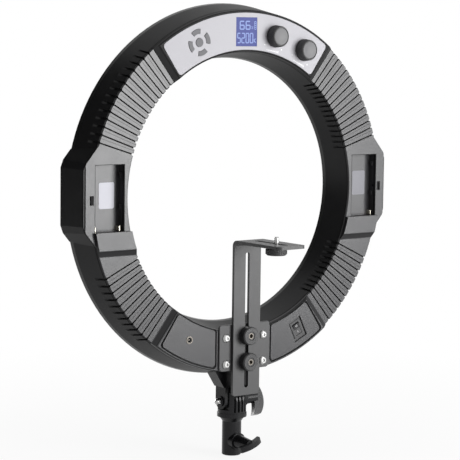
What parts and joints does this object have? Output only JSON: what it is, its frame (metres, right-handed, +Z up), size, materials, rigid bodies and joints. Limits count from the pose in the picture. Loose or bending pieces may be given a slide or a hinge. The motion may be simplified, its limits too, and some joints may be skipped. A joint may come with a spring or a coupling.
{
  "type": "led ring light",
  "caption": "Ring light on a tilting stand socket, with a control panel, battery bays at both sides and a sliding camera arm.",
  "frame": {"origin": "centre of the mouth of the socket that fits over a stand's spigot", "axes": "+Z up the socket towards the ring, -Y the way that the light shines, +X to the left of someone behind the ring"},
  "size_m": [0.512, 0.1522, 0.6043],
  "materials": {
    "housing_plastic": "fine matte",
    "trim_plastic": "satin black",
    "milky_diffuser": "milky",
    "circuit_board": "solder mask",
    "led_package": "phosphor",
    "silver_fascia": "silver paint",
    "blue_display": "backlit",
    "black_plastic": "matte",
    "knob_plastic": "satin",
    "key_rubber": "matte",
    "bright_steel": "plated",
    "contact_brass": "tinned",
    "black_steel": "powder coat",
    "arm_metal": "black anodised"
  },
  "bodies": {
    "stand": {"stand_adapter": "black_plastic"},
    "stand_lock": {"stand_lock_screw": "bright_steel", "stand_lock_wing": "black_plastic"},
    "tilt_lock": {"tilt_bolt": "bright_steel", "tilt_wing": "black_plastic"},
    "camera_arm": {"camera_arm": "arm_metal"},
    "upper_clamp": {"upper_clamp_knob": "black_plastic", "upper_clamp_screw": "bright_steel"},
    "lower_clamp": {"lower_clamp_knob": "black_plastic", "lower_clamp_screw": "bright_steel"},
    "camera_carriage": {"camera_washer": "black_plastic"},
    "camera_screw": {"camera_knob": "black_plastic", "camera_stud": "bright_steel"},
    "brightness_dial": {"brightness_knob": "knob_plastic", "brightness_shaft": "bright_steel"},
    "colour_dial": {"colour_knob": "knob_plastic", "colour_shaft": "bright_steel"},
    "menu_key": {"menu_button": "key_rubber"},
    "up_key": {"up_button": "key_rubber"},
    "down_key": {"down_button": "key_rubber"},
    "left_key": {"left_button": "key_rubber"},
    "right_key": {"right_button": "key_rubber"},
    "rocker": {"power_rocker": "black_plastic"},
    "left_latch": {"left_battery_latch": "housing_plastic"},
    "right_latch": {"right_battery_latch": "housing_plastic"},
    "ring_head": {"brightness_encoder": "bright_steel", "colour_encoder": "bright_steel", "control_board": "circuit_board", "control_fascia": "silver_fascia", "dc_jack_core": "black_plastic", "dc_jack_pin": "bright_steel", "dc_jack_sleeve": "bright_steel", "diffuser": "milky_diffuser", "display_module": "black_plastic", "display_window": "blue_display", "inner_bezel": "trim_plastic", "jack_panel": "housing_plastic", "led_array": "led_package", "led_board": "circuit_board", "left_battery_contacts": "contact_brass", "left_battery_tray": "housing_plastic", "lower_left_plate_screw": "bright_steel", "lower_right_plate_screw": "bright_steel", "mount_plate": "black_steel", "nut_washer": "black_steel", "outer_bezel": "trim_plastic", "power_board": "circuit_board", "rear_housing": "housing_plastic", "right_battery_contacts": "contact_brass", "right_battery_tray": "housing_plastic", "switch_frame": "black_plastic", "switch_panel": "housing_plastic", "tact_switches": "black_plastic", "tilt_nut": "bright_steel", "tilt_yoke": "black_plastic", "upper_left_plate_screw": "bright_steel", "upper_right_plate_screw": "bright_steel", "wing_washer": "black_steel"}
  },
  "joints": [
    {"name": "ring_tilt", "type": "hinge", "parent": "stand", "child": "ring_head", "pos_m": [0, 0, 0.074], "axis": [1, 0, 0], "range_deg": [-15, 85]},
    {"name": "stand_lock_turn", "type": "hinge", "parent": "stand", "child": "stand_lock", "pos_m": [0, 0.03, 0.0195], "axis": [0, 1, 0], "continuous": true},
    {"name": "tilt_lock_turn", "type": "hinge", "parent": "ring_head", "child": "tilt_lock", "pos_m": [-0.03, 0, 0.074], "axis": [1, 0, 0], "continuous": true},
    {"name": "camera_arm_slide", "type": "slide", "parent": "ring_head", "child": "camera_arm", "axis": [0, 0, 1], "range_m": [-0.04, 0.03]},
    {"name": "upper_clamp_turn", "type": "hinge", "parent": "ring_head", "child": "upper_clamp", "pos_m": [0, 0.035, 0.166], "axis": [0, 1, 0], "continuous": true},
    {"name": "lower_clamp_turn", "type": "hinge", "parent": "ring_head", "child": "lower_clamp", "pos_m": [0, 0.035, 0.131], "axis": [0, 1, 0], "continuous": true},
    {"name": "camera_slot_slide", "type": "slide", "parent": "camera_arm", "child": "camera_carriage", "axis": [0, 1, 0], "range_m": [-0.038, 0.016]},
    {"name": "camera_screw_turn", "type": "hinge", "parent": "camera_carriage", "child": "camera_screw", "pos_m": [0, 0.09, 0.286], "axis": [0, 0, 1], "continuous": true},
    {"name": "brightness_turn", "type": "hinge", "parent": "ring_head", "child": "brightness_dial", "pos_m": [-0.04664, 0.023, 0.56127], "axis": [0, 1, 0], "continuous": true},
    {"name": "colour_turn", "type": "hinge", "parent": "ring_head", "child": "colour_dial", "pos_m": [-0.09589, 0.023, 0.54339], "axis": [0, 1, 0], "continuous": true},
    {"name": "rocker_swing", "type": "hinge", "parent": "ring_head", "child": "rocker", "pos_m": [-0.09327, 0.01965, 0.16562], "axis": [0.898, 0, -0.4399], "range_deg": [0, 16]},
    {"name": "left_latch_slide", "type": "slide", "parent": "ring_head", "child": "left_latch", "axis": [1, 0, 0], "range_m": [0, 0.0018], "stiffness_N_per_m": 400},
    {"name": "right_latch_slide", "type": "slide", "parent": "ring_head", "child": "right_latch", "axis": [-1, 0, 0], "range_m": [0, 0.0018], "stiffness_N_per_m": 400},
    {"name": "menu_press", "type": "slide", "parent": "ring_head", "child": "menu_key", "axis": [0, -1, 0], "range_m": [0, 0.0005], "stiffness_N_per_m": 600},
    {"name": "up_press", "type": "slide", "parent": "ring_head", "child": "up_key", "axis": [0, -1, 0], "range_m": [0, 0.0005], "stiffness_N_per_m": 600},
    {"name": "down_press", "type": "slide", "parent": "ring_head", "child": "down_key", "axis": [0, -1, 0], "range_m": [0, 0.0005], "stiffness_N_per_m": 600},
    {"name": "left_press", "type": "slide", "parent": "ring_head", "child": "left_key", "axis": [0, -1, 0], "range_m": [0, 0.0005], "stiffness_N_per_m": 600},
    {"name": "right_press", "type": "slide", "parent": "ring_head", "child": "right_key", "axis": [0, -1, 0], "range_m": [0, 0.0005], "stiffness_N_per_m": 600}
  ]
}
